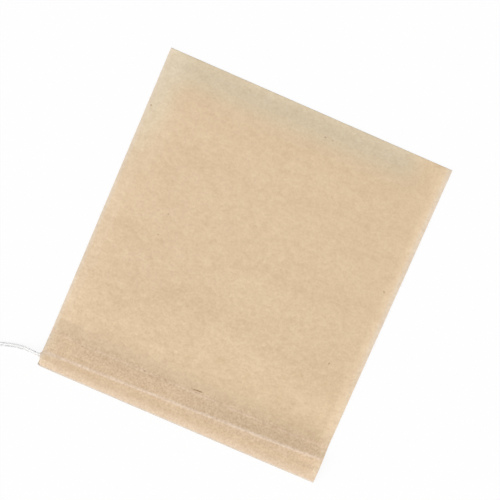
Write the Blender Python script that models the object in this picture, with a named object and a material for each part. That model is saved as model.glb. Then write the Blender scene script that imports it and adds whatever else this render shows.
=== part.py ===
"""A flat drawstring tea bag, empty, lying on its back panel.

One sheet of unbleached filter paper is folded across the closed end, sealed down both sides and
turned outwards at the mouth into a front and a back hem. One cotton thread runs round the mouth
inside both hems. Its two legs leave side by side at the left and end in one knot.

The bag's own frame has X along the mouth, Y from the mouth to the closed end and Z up. Heights of
the paper's layers are functions of x and y, and every layer is stacked on the one below it.
"""
from math import asin, atan2, cos, hypot, pi, radians, sin, sqrt, tan

import bmesh
import bpy
from mathutils import Vector

MM = 0.001

# Paper sheet
WIDTH = 70.5 * MM          # along the mouth, between the side edges
LENGTH = 80.0 * MM         # mouth folds to closed end
PAPER = 0.12 * MM          # one layer
SEAM = 2.5 * MM            # sealed strip down each side
END_FOLD = 1.0 * MM        # strip that is creased flat at the closed end
POCKET = 0.55 * MM         # space between the panels of the empty bag
SIDE_RUN = 9.0 * MM        # over which the front panel rises beside a seam
END_RUN = 14.0 * MM        # over which it rises beside the closed end

# Hems
HEM = 9.0 * MM             # mouth fold to raw edge
BOND = 0.6 * MM            # glued strip along the raw edge
NOSE = 0.45 * MM           # outer radius of a mouth fold
MOUTH = 0.15 * MM          # slit between the two mouth folds
HEM_RISE = 0.50 * MM       # climb of the front hem from its fold to its glued strip
HEM_FALL = 6.5 * MM        # run of the front panel from the glued strip down to the body
EDGE_RUN = 1.2 * MM        # run over which the back panel comes down beside its raw edge
RAW_EDGE = 0.02 * MM       # slope of a cut edge
PRESSED = 0.05 * MM        # thickness of the glued layer at its raw edge
DIP = 0.12 * MM            # how far the front thread presses the layers under it down
DIP_RUN = 3.0 * MM         # over which they come up again on either side
TONGUE = 0.28 * MM         # how far the thread pulls the hem's left end out
DRAWN_IN = 0.85 * MM       # how far the front fold's end stays back at the mouth

# Thread
THREAD = 0.60 * MM
THREAD_ROOM = 0.08 * MM    # free space all round the thread in its hem
LEG_GAP = 0.12 * MM        # between neighbouring runs outside the bag
EXIT = 2.27 * MM           # mouth fold to the middle of the two legs at the left edge
EXIT_BEND = 7.0 * MM       # in which the front run comes over to its leg
FRONT_START = 3.70 * MM    # mouth fold to the front run's straight line at the left edge
FRONT_TURN = 5.97 * MM     # the same at the right edge
BACK_TURN = 2.90 * MM      # mouth fold to the back run at the right edge
TURN_COVER = 0.30 * MM     # paper beyond the thread where it turns back
LEG_START = 1.20 * MM      # inside the left edge, where a leg's solid begins
NODE_GAP = 0.30 * MM       # between the solids that share the thread
TIP, TIP_END = 0.5, 0.8    # thread thicknesses past the front run where the tongue ends
FRONT_DROP = 6.0 * MM      # run over which the front leg comes down to the floor
BACK_DROP = 4.0 * MM

# Middle line of the two legs, from the exit: along X, along Y
LEG_ROUTE = [(1.2 * MM, 0.0), (0.0, 0.0), (-2.2 * MM, -0.03 * MM), (-4.4 * MM, -0.13 * MM),
             (-6.6 * MM, -0.52 * MM), (-8.8 * MM, -1.16 * MM), (-11.0 * MM, -1.84 * MM),
             (-13.2 * MM, -2.36 * MM), (-15.2 * MM, -2.64 * MM), (-16.2 * MM, -2.71 * MM)]
COIL_AT = (-20.4 * MM, 3.25 * MM)   # middle of the coil, from the exit
COIL_RADIUS = 6.0 * MM     # middle line of its outermost pair of runs
COIL_HOLE = 2.6 * MM       # radius of the open middle, where the knot lies
KNOT_AT = (0.25 * MM, 0.30 * MM)    # middle of the knot, from the coil's middle
KNOT = (1.20 * MM, 1.00 * MM, 0.90 * MM)   # half its length, width and height
TAIL = 2.0 * MM            # knot's middle to a cut end
LEG_INTO_KNOT = 2.3 * MM   # knot's middle to the coil's inner side
TAIL_SPREAD = radians(24)  # either side of the knot's length

CORD_SIDES = 8
PAIR = THREAD + LEG_GAP
LEFT, RIGHT = -WIDTH / 2, WIDTH / 2
TUBE = 2 * PAPER + THREAD + 2 * THREAD_ROOM
GLUE_LINE = HEM - BOND


def mix(a, b, share):
    return a + (b - a) * share


def clamp(value, low=0.0, high=1.0):
    return min(max(value, low), high)


def pillow(run):
    """Rise of a sheet that swells from a seam, from 0 at the seam to 1 at the end of its run."""
    run = clamp(run)
    return run * (2 - run)


def curl(depth, radius):
    """How far the surface of a round fold turns in, at a depth from its outermost line."""
    depth = clamp(depth, 0.03 * radius, radius)
    return radius - sqrt(radius ** 2 - (radius - depth) ** 2)


def taut_over(y, left, middle, radius, right):
    """Height at y of a sheet pulled tight from left to right over a round thread."""
    (y0, z0), (yc, zc), (y1, z1) = left, middle, right
    rise = atan2(zc - z0, yc - y0) + asin(radius / hypot(yc - y0, zc - z0))
    fall = atan2(zc - z1, y1 - yc) + asin(radius / hypot(y1 - yc, zc - z1))
    if y <= yc - radius * sin(rise):
        return z0 + (y - y0) * tan(rise)
    if y >= yc + radius * sin(fall):
        return z1 + (y1 - y) * tan(fall)
    return zc + sqrt(radius ** 2 - (y - yc) ** 2)


def front_line(x):
    """Distance of the front run of thread from the mouth folds."""
    line = mix(FRONT_START, FRONT_TURN, (x - LEFT) / WIDTH)
    bent = clamp(1 - (x - LEFT - LEG_START) / EXIT_BEND)
    return line - (FRONT_START - EXIT - PAIR / 2) * bent ** 2


def back_line(x):
    return mix(EXIT - PAIR / 2, BACK_TURN, (x - LEFT) / WIDTH)


def hem_height(y, line):
    """Thickness of a hem: two layers of paper round a thread that lies at line."""
    if y < NOSE:
        return 2 * NOSE
    if y >= GLUE_LINE:
        return PAPER + mix(PAPER, PRESSED, clamp((y - GLUE_LINE) / BOND))
    over = (line, PAPER + THREAD_ROOM + THREAD / 2)
    return taut_over(y, (NOSE, 2 * NOSE), over, TUBE / 2, (GLUE_LINE, 2 * PAPER))


def back_stack(x, y):
    """Top of everything behind the pocket: the back hem, then the back panel on the floor."""
    if y <= HEM:
        return hem_height(y, back_line(x))
    return PAPER + PRESSED * max(0.0, 1 - (y - HEM) / EDGE_RUN)


def front_base(x, y):
    """Underside of everything in front of the pocket."""
    body = PAPER + POCKET * pillow((LENGTH - END_FOLD - y) / END_RUN)
    top = 2 * NOSE + MOUTH + HEM_RISE
    if y < GLUE_LINE:
        open_height = mix(2 * NOSE + MOUTH, top, y / GLUE_LINE)
    else:
        open_height = body + (top - body) * max(0.0, 1 - (y - GLUE_LINE) / HEM_FALL) ** 2
    aside = clamp((y - front_line(x)) / DIP_RUN, -1.0, 1.0)
    open_height -= DIP * (1 - aside ** 2) ** 2
    swell = pillow((WIDTH / 2 - SEAM - abs(x)) / SIDE_RUN)
    return mix(back_stack(x, y), open_height, swell)


def underside(x, y):
    if y <= HEM:
        return curl(y, NOSE)
    return back_stack(x, y) - PAPER + curl(LENGTH - y, PAPER)


def topside(x, y):
    if y <= HEM:
        return front_base(x, y) + hem_height(y, front_line(x)) - curl(y, NOSE)
    return front_base(x, y) + PAPER - curl(LENGTH - y, PAPER)


def pocket_floor(x, y):
    return back_stack(x, y) - curl(y, NOSE)


def pocket_ceiling(x, y):
    return front_base(x, y) + curl(y, NOSE)


def channel_floor(base, y):
    return base + PAPER + curl(y - PAPER, NOSE - PAPER)


def channel_ceiling(base, y, line):
    return base + hem_height(y, line) - PAPER - curl(y - PAPER, NOSE - PAPER)


def back_channel_floor(x, y):
    return channel_floor(0.0, y)


def back_channel_ceiling(x, y):
    return channel_ceiling(0.0, y, back_line(x))


def front_channel_floor(x, y):
    return channel_floor(front_base(x, y), y)


def front_channel_ceiling(x, y):
    return channel_ceiling(front_base(x, y), y, front_line(x))


def columns():
    """Positions across the bag, closer together beside the seams."""
    swell = [SEAM + SIDE_RUN * s for s in (0.08, 0.19, 0.32, 0.48, 0.69, 1.0)]
    sides = [0.0, 0.35 * SEAM, SEAM] + swell
    left = [LEFT + s for s in sides]
    right = [RIGHT - s for s in reversed(sides)]
    inner = [mix(left[-1], right[0], s / 6) for s in range(1, 6)]
    return left + inner + right


def hem_rows(x):
    """Positions along the bag from the mouth fold to the glued strip, closer over the threads."""
    nose = [NOSE * (1 - cos(radians(a))) for a in (0, 35, 65, 90)]
    crest = [line + THREAD * s for line in (back_line(x), front_line(x)) for s in (-0.25, 0, 0.25)]
    past = [front_line(x) + THREAD * s for s in (TIP, TIP_END)]
    return nose + crest + past + [mix(past[-1], GLUE_LINE, 0.5), GLUE_LINE]


def body_rows(x):
    """Positions from the raw edge of the hem to the closed end."""
    foot = GLUE_LINE + HEM_FALL
    fall = [mix(HEM, foot, s) for s in (0.12, 0.34, 0.64, 1.0)]
    rise = LENGTH - END_FOLD - END_RUN
    body = [mix(foot, rise, s) for s in (0.25, 0.5, 0.75, 1.0)]
    body += [mix(rise, LENGTH - END_FOLD, s) for s in (0.28, 0.5, 0.68, 0.82, 0.92, 1.0)]
    end = [LENGTH - PAPER * s for s in (1.0, 0.45, 0.12, 0.0)]
    return [HEM, HEM + RAW_EDGE] + fall + body + end


def edge_x(x, y, front):
    """The hem's left end stands proud where the thread leaves it, and less at the mouth folds."""
    tip, end = [front_line(LEFT) + THREAD * s for s in (TIP, TIP_END)]
    share = max(y, 0.0) / tip
    if y >= tip:
        out = TONGUE * clamp((end - y) / (end - tip))
    elif front:
        out = mix(-DRAWN_IN, TONGUE, share)
    else:
        out = TONGUE * share ** 3
    return x - out * clamp(1 - (x - LEFT) / SEAM)


def slab(name, xs, rows, low, high):
    """Closed body between two heights over a grid; past a side edge the heights stay as there."""
    mesh = bpy.data.meshes.new(name)
    obj = bpy.data.objects.new(name, mesh)
    bpy.context.scene.collection.objects.link(obj)
    bm = bmesh.new()
    layers = []
    for front, height in enumerate((low, high)):
        grid = []
        for x in xs:
            near = clamp(x, LEFT, RIGHT)
            grid.append([bm.verts.new((edge_x(x, y, front) if x == near else x, y,
                                       height(near, y))) for y in rows(near)])
        layers.append(grid)
    bottom, top = layers
    last_x, last_y = len(xs) - 1, len(bottom[0]) - 1
    for i in range(last_x):
        for j in range(last_y):
            bm.faces.new((top[i][j], top[i + 1][j], top[i + 1][j + 1], top[i][j + 1]))
            bm.faces.new((bottom[i][j], bottom[i][j + 1], bottom[i + 1][j + 1], bottom[i + 1][j]))
        bm.faces.new((bottom[i][0], bottom[i + 1][0], top[i + 1][0], top[i][0]))
        bm.faces.new((top[i][last_y], top[i + 1][last_y], bottom[i + 1][last_y], bottom[i][last_y]))
    for j in range(last_y):
        bm.faces.new((bottom[0][j], top[0][j], top[0][j + 1], bottom[0][j + 1]))
        bm.faces.new((top[last_x][j], bottom[last_x][j], bottom[last_x][j + 1], top[last_x][j + 1]))
    bmesh.ops.triangulate(bm, faces=bm.faces[:])
    bm.to_mesh(mesh)
    bm.free()
    return obj


def cut(obj, cutter):
    cutter.hide_render = True
    cutter.display_type = "WIRE"
    boolean = obj.modifiers.new(cutter.name, "BOOLEAN")
    boolean.operation = "DIFFERENCE"
    boolean.solver = "EXACT"
    boolean.object = cutter


def join(obj, other):
    cut(obj, other)
    obj.modifiers[-1].operation = "UNION"


def paper_bag():
    """The folded sheet, opened by its pocket, its two thread channels and the turning notch."""
    xs = columns()
    past = [LEFT - 2 * SEAM] + xs + [RIGHT + 2 * SEAM]
    inner = [x for x in xs if abs(x) <= WIDTH / 2 - SEAM + RAW_EDGE]
    mouth_out = -2 * NOSE
    bag = slab("paper_bag", xs, lambda x: hem_rows(x) + body_rows(x), underside, topside)
    pocket = slab("cut_pocket", inner, lambda x: [mouth_out] + hem_rows(x) + body_rows(x)[:-5],
                  pocket_floor, pocket_ceiling)
    cut(bag, pocket)
    for side, floor, ceiling in (("back", back_channel_floor, back_channel_ceiling),
                                 ("front", front_channel_floor, front_channel_ceiling)):
        cut(bag, slab("cut_%s_channel" % side, past, channel_rows, floor, ceiling))
    cut(bag, turning_notch())
    return bag


def channel_rows(x):
    """From the inside of the mouth fold to just before the glued strip."""
    inner_nose = [PAPER + (NOSE - PAPER) * (1 - cos(radians(a))) for a in (0, 50)]
    return inner_nose + hem_rows(x)[3:-1] + [GLUE_LINE - PAPER]


def turn_radius():
    return (front_line(RIGHT) - back_line(RIGHT)) / 2


def turn_x():
    return RIGHT - TURN_COVER - THREAD / 2 - turn_radius()


def turning_notch():
    """Takes the two panels out of the right seam, where the thread passes from hem to hem."""
    room = THREAD / 2 + THREAD_ROOM

    def rows(x):
        return [mix(back_line(x) - room, front_line(x) + room, s / 6) for s in range(7)]

    def low(x, y):
        return (back_channel_floor(x, y) + back_channel_ceiling(x, y)) / 2

    def high(x, y):
        return (front_channel_floor(x, y) + front_channel_ceiling(x, y)) / 2

    return slab("cut_turning_notch", [turn_x(), mix(turn_x(), RIGHT, 0.5), RIGHT, RIGHT + SEAM],
                rows, low, high)


def tube(name, points):
    """Plain round cord through the given points, with filled ends."""
    curve = bpy.data.curves.new(name, "CURVE")
    curve.dimensions = "3D"
    curve.bevel_depth = THREAD / 2
    curve.bevel_resolution = round(CORD_SIDES / 4)
    curve.render_resolution_u = 0
    curve.use_fill_caps = True
    spline = curve.splines.new("POLY")
    spline.points.add(len(points) - 1)
    for point, place in zip(spline.points, points):
        point.co = (*place, 1.0)
    obj = bpy.data.objects.new(name, curve)
    bpy.context.scene.collection.objects.link(obj)
    return obj


def front_run_height(x, y):
    return front_channel_floor(x, y) + THREAD_ROOM + THREAD / 2


def back_run_height():
    return PAPER + THREAD_ROOM + THREAD / 2


def thread_in_hem():
    """Front run, half turn at the right, back run."""
    start = LEFT + LEG_START + NODE_GAP
    inner = [x for x in columns() if start < x < turn_x()]
    front = [Vector((x, front_line(x), front_run_height(x, front_line(x)))) for x in [start] + inner]
    back = [Vector((x, back_line(x), back_run_height())) for x in reversed([start] + inner)]
    turn = []
    radius, middle = turn_radius(), (front_line(RIGHT) + back_line(RIGHT)) / 2
    for step in range(11):
        angle = pi / 2 - pi * step / 10
        x, y = turn_x() + radius * cos(angle), middle + radius * sin(angle)
        share = clamp((radians(60) - angle) / radians(120))
        share = share * share * (3 - 2 * share)
        turn.append(Vector((x, y, mix(front_run_height(x, y), back_run_height(), share))))
    return tube("drawstring_in_hem", front + turn + back)


def smooth_route(points, step):
    """Even points along the smooth curve that passes through a few chosen ones."""
    chosen = [points[0] * 2 - points[1]] + points + [points[-1] * 2 - points[-2]]
    fine = []
    for a, b, c, d in zip(chosen, chosen[1:], chosen[2:], chosen[3:]):
        for share in [s / 24 for s in range(24)]:
            fine.append(0.5 * (2 * b + (c - a) * share + (2 * a - 5 * b + 4 * c - d) * share ** 2
                               + (3 * b - a - 3 * c + d) * share ** 3))
    fine.append(points[-1])
    run = [0.0]
    for a, b in zip(fine, fine[1:]):
        run.append(run[-1] + (b - a).length)
    count = max(2, round(run[-1] / step))
    even, at = [], 0
    for i in range(count + 1):
        goal = run[-1] * i / count
        while at < len(run) - 2 and run[at + 1] < goal:
            at += 1
        even.append(fine[at].lerp(fine[at + 1], (goal - run[at]) / (run[at + 1] - run[at])))
    return even


def leg(name, side, lift, drop):
    """One leg, beside the middle line; it leaves its hem at a height and comes down to the floor."""
    exit_point = Vector((LEFT, EXIT, 0.0))
    middle = smooth_route([exit_point + Vector((x, y, 0.0)) for x, y in LEG_ROUTE], 2.4 * THREAD)
    places = []
    for i, point in enumerate(middle):
        ahead = (middle[min(i + 1, len(middle) - 1)] - middle[max(i - 1, 0)]).normalized()
        aside = Vector((ahead.y, -ahead.x, 0.0)) * side * PAIR / 2
        fallen = clamp((LEFT - TONGUE - point.x) / drop)
        share = (1 + cos(pi * fallen)) / 2
        places.append(point + aside + Vector((0, 0, mix(THREAD / 2, lift, share))))
    return tube(name, places)


def coil_middle():
    return Vector((LEFT + COIL_AT[0], EXIT + COIL_AT[1], 0.0))


def thread_coil():
    """Outer shape of the wound legs: a flat ring with rounded rims on the floor."""
    outer = COIL_RADIUS + PAIR / 2 + THREAD / 2
    rim = THREAD * 0.3
    profile = [(COIL_HOLE, rim), (COIL_HOLE + rim, 0.0), (outer - rim, 0.0), (outer, rim),
               (outer, THREAD - rim), (outer - rim, THREAD), (COIL_HOLE + rim, THREAD),
               (COIL_HOLE, THREAD - rim)]
    bm = bmesh.new()
    steps = 36
    rings = [[bm.verts.new((r * cos(2 * pi * k / steps), r * sin(2 * pi * k / steps), z))
              for r, z in profile] for k in range(steps)]
    for k in range(steps):
        here, there = rings[k], rings[(k + 1) % steps]
        for j in range(len(profile)):
            n = (j + 1) % len(profile)
            bm.faces.new((here[j], there[j], there[n], here[n]))
    bmesh.ops.recalc_face_normals(bm, faces=bm.faces[:])
    mesh = bpy.data.meshes.new("drawstring_coil")
    bm.to_mesh(mesh)
    bm.free()
    obj = bpy.data.objects.new("drawstring_coil", mesh)
    bpy.context.scene.collection.objects.link(obj)
    obj.location = coil_middle()
    return obj


def thread_knot():
    """The knot in the coil's open middle, with the legs' last stretch and the two cut ends."""
    bm = bmesh.new()
    bmesh.ops.create_uvsphere(bm, u_segments=16, v_segments=10, radius=1.0)
    for vert in bm.verts:
        vert.co = Vector([c * r for c, r in zip(vert.co, KNOT)])
    mesh = bpy.data.meshes.new("drawstring_knot")
    bm.to_mesh(mesh)
    bm.free()
    obj = bpy.data.objects.new("drawstring_knot", mesh)
    bpy.context.scene.collection.objects.link(obj)
    middle = coil_middle() + Vector((*KNOT_AT, KNOT[2]))
    obj.location = middle
    foot = Vector((0, 0, THREAD / 2 - KNOT[2]))
    for name, reach, turn in (("tail", TAIL, 0.0), ("incoming_leg", LEG_INTO_KNOT, pi)):
        for number, angle in enumerate((turn - TAIL_SPREAD, turn + TAIL_SPREAD)):
            out = Vector((cos(angle), sin(angle), 0.0))
            ends = [middle + out * KNOT[0] / 3, middle + out * KNOT[0] * 0.8 + foot * 0.6,
                    middle + out * reach + foot]
            join(obj, as_mesh(tube("%s_%d" % (name, number), ends)))
    return obj


def as_mesh(curve_object):
    """The same cord as a mesh object."""
    depsgraph = bpy.context.evaluated_depsgraph_get()
    mesh = bpy.data.meshes.new_from_object(curve_object.evaluated_get(depsgraph))
    obj = bpy.data.objects.new(curve_object.name + "_solid", mesh)
    bpy.context.scene.collection.objects.link(obj)
    bpy.data.objects.remove(curve_object)
    return obj


def linear(value):
    value /= 255
    return value / 12.92 if value <= 0.04045 else ((value + 0.055) / 1.055) ** 2.4


def finish(obj, name, colour, roughness):
    material = bpy.data.materials.new(name)
    material.use_nodes = True
    shader = material.node_tree.nodes["Principled BSDF"]
    shader.inputs["Base Color"].default_value = (*[linear(c) for c in colour], 1.0)
    shader.inputs["Roughness"].default_value = roughness
    shader.inputs["Metallic"].default_value = 0.0
    obj.data.materials.append(material)


def main():
    for obj in list(bpy.data.objects):
        bpy.data.objects.remove(obj)
    bag = paper_bag()
    front_exit = front_run_height(LEFT, front_line(LEFT))
    threads = [thread_in_hem(),
               leg("drawstring_leg_front", 1, front_exit, FRONT_DROP),
               leg("drawstring_leg_back", -1, back_run_height(), BACK_DROP),
               thread_coil(), thread_knot()]
    finish(bag, "unbleached_filter_paper", (221, 195, 162), 0.85)
    for thread in threads:
        finish(thread, thread.name + "_cotton", (240, 239, 235), 0.8)

    # The row's frame has its origin under the middle of the paper, tongue and all
    frame = bpy.data.objects.new("bag_frame", None)
    bpy.context.scene.collection.objects.link(frame)
    for obj in list(bpy.data.objects):
        if obj != frame:
            obj.parent = frame
    frame.location = (TONGUE / 2, -LENGTH / 2, 0.0)


main()
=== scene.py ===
"""Looks of a flat, empty drawstring tea bag, laid out as a Blender add-on and run as a script.

The packed model is the fixed frame: its paper solid gives the sheet's width and length, and each
piece made here stands where the solid that it replaces stands. On the bag, x runs along the mouth
from the middle of the paper, y from the mouth folds to the closed end, and z up.
"""
from math import asin, atan2, cos, hypot, pi, radians, sin, sqrt, tan

import bmesh
import bpy
from bpy.props import FloatProperty, FloatVectorProperty, IntProperty, PointerProperty
from mathutils import Matrix, Vector, noise


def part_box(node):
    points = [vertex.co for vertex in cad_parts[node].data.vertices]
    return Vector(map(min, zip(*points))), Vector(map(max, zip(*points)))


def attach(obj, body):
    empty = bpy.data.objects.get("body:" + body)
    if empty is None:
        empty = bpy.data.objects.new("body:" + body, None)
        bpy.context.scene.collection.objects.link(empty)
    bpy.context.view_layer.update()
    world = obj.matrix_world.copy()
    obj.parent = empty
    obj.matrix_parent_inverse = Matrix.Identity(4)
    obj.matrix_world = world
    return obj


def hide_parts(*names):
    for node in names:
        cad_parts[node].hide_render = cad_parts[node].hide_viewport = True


bl_info = {
    "name": "Drawstring tea bag",
    "version": (1, 0, 0),
    "blender": (4, 5, 0),
    "location": "3D View > Sidebar > Tea Bag",
    "description": "Makes the paper, the drawstring and the studio of a flat, empty tea bag",
    "category": "Object",
}

MM = 0.001
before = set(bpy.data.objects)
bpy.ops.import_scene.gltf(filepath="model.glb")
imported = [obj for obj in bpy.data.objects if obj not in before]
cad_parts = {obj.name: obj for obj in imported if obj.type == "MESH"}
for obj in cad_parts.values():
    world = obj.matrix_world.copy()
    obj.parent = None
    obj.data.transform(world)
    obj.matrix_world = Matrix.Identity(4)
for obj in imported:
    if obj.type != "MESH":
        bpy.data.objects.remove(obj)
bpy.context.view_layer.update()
PAPER_LOW, PAPER_HIGH = [Vector(corner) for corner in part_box("paper_bag")]
TONGUE = 0.28 * MM         # how far the thread pulls the hem's left end out
PAPER_WIDTH = PAPER_HIGH.x - PAPER_LOW.x - TONGUE
PAPER_LENGTH = PAPER_HIGH.y - PAPER_LOW.y

# Middle line of the two legs, from the exit: along X, along Y
LEG_ROUTE = [(1.2 * MM, 0.0), (0.0, 0.0), (-2.2 * MM, -0.03 * MM), (-4.4 * MM, -0.13 * MM),
             (-6.6 * MM, -0.52 * MM), (-8.8 * MM, -1.16 * MM), (-11.0 * MM, -1.84 * MM),
             (-13.2 * MM, -2.36 * MM), (-15.2 * MM, -2.64 * MM), (-16.2 * MM, -2.71 * MM)]
COIL_AT = (-20.4 * MM, 3.25 * MM)   # middle of the coil, from the exit
KNOT_AT = (0.25 * MM, 0.30 * MM)    # middle of the knot, from the coil's middle
ROUTE_STEP = 0.3 * MM               # between the points of that line
RUN_GAP = 0.3 * MM                  # between the ends of two runs of the thread
LEG_SHARE = 0.9                     # of the thread's thickness, for a free leg below its hairs
KNOT_SHARE = 0.86                   # the same for a strand that is pulled tight in the knot
FLOOR = -0.02 * MM                  # height of the studio floor

# Bark specks in the paper: from the left edge, from the mouth, half length, half width, turn,
# strength. The first is the long one just above the hem.
SPECKS = [(37.1, 9.4, 1.25, 0.13, 3, 0.90), (23.8, 8.8, 0.35, 0.16, 20, 0.45),
          (62.6, 27.4, 0.30, 0.22, 60, 0.50), (67.6, 47.9, 0.28, 0.20, -30, 0.45),
          (40.6, 75.3, 0.32, 0.18, 10, 0.45), (42.4, 75.3, 0.26, 0.18, -15, 0.35),
          (0.9, 66.1, 0.30, 0.20, 80, 0.45), (14.1, 39.4, 0.26, 0.18, 35, 0.35),
          (14.4, 44.7, 0.26, 0.18, -50, 0.35)]


CHANNEL_MOTTLE = (0.93, 1.2, 1.5)   # how much the clouds change red, green and blue


def size(name, description, default):
    """Length that a user may change."""
    return FloatProperty(name=name, description=description, default=default, min=0.0,
                         unit="LENGTH", subtype="DISTANCE", precision=5)


def share(name, description, default):
    return FloatProperty(name=name, description=description, default=default, subtype="FACTOR")


def whole(name, description, default, least):
    return IntProperty(name=name, description=description, default=default, min=least)


def tilt(name, description, degrees):
    return FloatProperty(name=name, description=description, default=radians(degrees),
                         subtype="ANGLE")


def spot(name, description, *place):
    """Place in space, given in mm."""
    return FloatVectorProperty(name=name, description=description, subtype="XYZ", unit="LENGTH",
                               default=[axis * MM for axis in place])


def colour(name, description, red, green, blue):
    """Colour that a user may change, given as a screen shows it, from 0 to 255."""
    return FloatVectorProperty(name=name, description=description, subtype="COLOR", min=0.0,
                               max=1.0, default=[linear(value) for value in (red, green, blue)])


def linear(value):
    value /= 255
    return value / 12.92 if value <= 0.04045 else ((value + 0.055) / 1.055) ** 2.4


class SheetSizes(bpy.types.PropertyGroup):
    """Folded paper"""
    width: size("Width", "Along the mouth, between the side edges", PAPER_WIDTH)
    length: size("Length", "From the mouth folds to the closed end", PAPER_LENGTH)
    paper: size("Paper", "Thickness of one layer", 0.12 * MM)
    seam: size("Side seam", "Sealed strip down each side", 2.5 * MM)
    end_fold: size("End fold", "Strip creased flat at the closed end", 1.0 * MM)
    pocket: size("Pocket", "Space between the two panels", 0.55 * MM)
    side_run: size("Side run", "Over which the front panel rises beside a seam", 9.0 * MM)
    end_run: size("End run", "Over which it rises beside the closed end", 14.0 * MM)
    hem: size("Hem", "From the mouth fold to the raw edge", 9.0 * MM)
    bond: size("Glued strip", "Width of the glue along the raw edge", 0.6 * MM)
    nose: size("Fold radius", "Outer radius of a mouth fold", 0.45 * MM)
    mouth: size("Mouth", "Slit between the two mouth folds", 0.15 * MM)
    hem_rise: size("Hem rise", "Climb of the front hem to its glued strip", 0.50 * MM)
    hem_fall: size("Hem fall", "Run of the front panel down from the hem", 6.5 * MM)
    edge_run: size("Edge run", "Run of the back panel down from its raw edge", 1.2 * MM)
    raw_edge: size("Raw edge", "Slope of a cut edge", 0.02 * MM)
    pressed: size("Pressed edge", "Thickness of the glued layer at its raw edge", 0.05 * MM)
    dip: size("Dip", "How far the front thread presses the layers under it down", 0.12 * MM)
    dip_run: size("Dip run", "Over which they come up again on either side", 3.0 * MM)
    tongue: size("Tongue", "How far the thread pulls the hem's end out", TONGUE)
    drawn_in: size("Drawn in", "How far the front fold's end stays back", 0.85 * MM)
    cockle: size("Cockle", "Height of the slow waves in the front panel", 0.05 * MM)
    pucker: size("Pucker", "Height of the small gathers along the thread", 0.02 * MM)


class ThreadSizes(bpy.types.PropertyGroup):
    """Drawstring"""
    thread: size("Thread", "Thickness of the twisted thread", 0.60 * MM)
    thread_room: size("Room", "Free space round the thread in its hem", 0.08 * MM)
    leg_gap: size("Gap", "Between neighbouring runs outside the bag", 0.12 * MM)
    exit: size("Exit", "From the mouth fold to the middle of the two legs", 2.27 * MM)
    exit_bend: size("Exit bend", "Run in which the front run comes over to its leg", 7.0 * MM)
    front_start: size("Front start", "From the mouth fold to the front run's line", 3.70 * MM)
    front_turn: size("Front turn", "From the mouth fold to the front run, at the right", 5.97 * MM)
    back_turn: size("Back turn", "From the mouth fold to the back run, at the right", 2.90 * MM)
    turn_cover: size("Turn cover", "Paper beyond the thread where it turns", 0.30 * MM)
    leg_start: size("Leg start", "Inside the left edge, where a leg begins", 1.20 * MM)
    front_drop: size("Front drop", "Run over which the front leg comes down", 6.0 * MM)
    back_drop: size("Back drop", "Run over which the back leg comes down", 4.0 * MM)
    coil_radius: size("Coil radius", "Middle line of the outermost pair of runs", 6.0 * MM)
    laps: whole("Laps", "Full turns of the coil", 2, 1)
    closing_radius: size("Closing bend", "Bend of the pair from the coil to the knot", 1.5 * MM)
    knot_half: size("Knot", "Half the length of the knot", 1.20 * MM)
    knot_height: size("Knot height", "Half the height of the knot", 0.90 * MM)
    tail: size("Tail", "From the knot's middle to a cut end", 2.0 * MM)
    twist: size("Twist", "Length of one full turn of a ply", 2.7 * MM)
    plies: whole("Plies", "Yarns twisted into the thread", 3, 2)
    bulge: share("Bulge", "How far the plies stand out, as a share of the radius", 0.10)
    step: size("Step", "Between the rings of a ply's mesh", 0.12 * MM)
    sides: whole("Sides", "Points round the thread", 24, 6)


class PaperFinish(bpy.types.PropertyGroup):
    """Unbleached filter paper"""
    body: colour("Body", "Free paper of the front panel", 222, 196, 163)
    # Painted shade: the paper is painted a little darker towards the right, where the light falls off
    shade: colour("Right side", "Same paper, a little browner to the right", 220, 194, 160)
    hem: colour("Hem", "Paper of the hem, which lets less light through", 215, 188, 156)
    fold: colour("Fold", "Paper stretched over the mouth folds", 230, 206, 180)
    # Painted shade: the outermost line of the mouth folds is painted darker and greyer where the fold
    # curls under
    rim: colour("Rim", "Outermost line of the mouth folds", 206, 194, 181)
    # Partly the pressed strip's own paler tone, partly a painted highlight that lifts the shade of
    # the raw edge's step and the glued strip's slope
    raw: colour("Raw edge", "Pressed strip along the raw edge", 233, 205, 177)
    # Partly the pressed seams' own paler tone, partly painted light that stands for light through the
    # thin seams and on their slopes
    seal: colour("Seal", "Pressed strips down the sides", 230, 206, 175)
    # Partly the open fibres' own paler tone, partly painted light that stands for light through the
    # thin cut edges
    cut: colour("Cut edge", "Open fibres at the cut edges", 227, 211, 192)
    pale: colour("Pale side", "Cooler paper at the left of the closed end", 222, 208, 182)
    end: colour("Closed end", "Paper beside the closed end", 214, 197, 169)
    # Partly the white thread showing through the paper, partly a painted highlight on the crest over
    # the thread
    ridge: colour("Ridge", "Paper drawn over the thread", 226, 203, 180)
    speck: colour("Speck", "Bits of bark in the pulp", 146, 112, 76)
    mottle: share("Mottle", "Contrast of the fibre clouds", 0.10)


class ThreadFinish(bpy.types.PropertyGroup):
    """Undyed cotton"""
    cotton: colour("Cotton", "Outside of the plies", 234, 234, 233)
    # Painted light: the grooves between the plies are painted a little lighter than the cotton, to
    # lift their shade
    groove: colour("Groove", "Between the plies", 236, 236, 234)
    # Painted light: the side of the thread that faces away from the key lamp, towards the closed end,
    # is painted near white to lift its shade
    bleached: colour("Bleached side", "Side that lies towards the closed end", 254, 254, 253)


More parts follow.
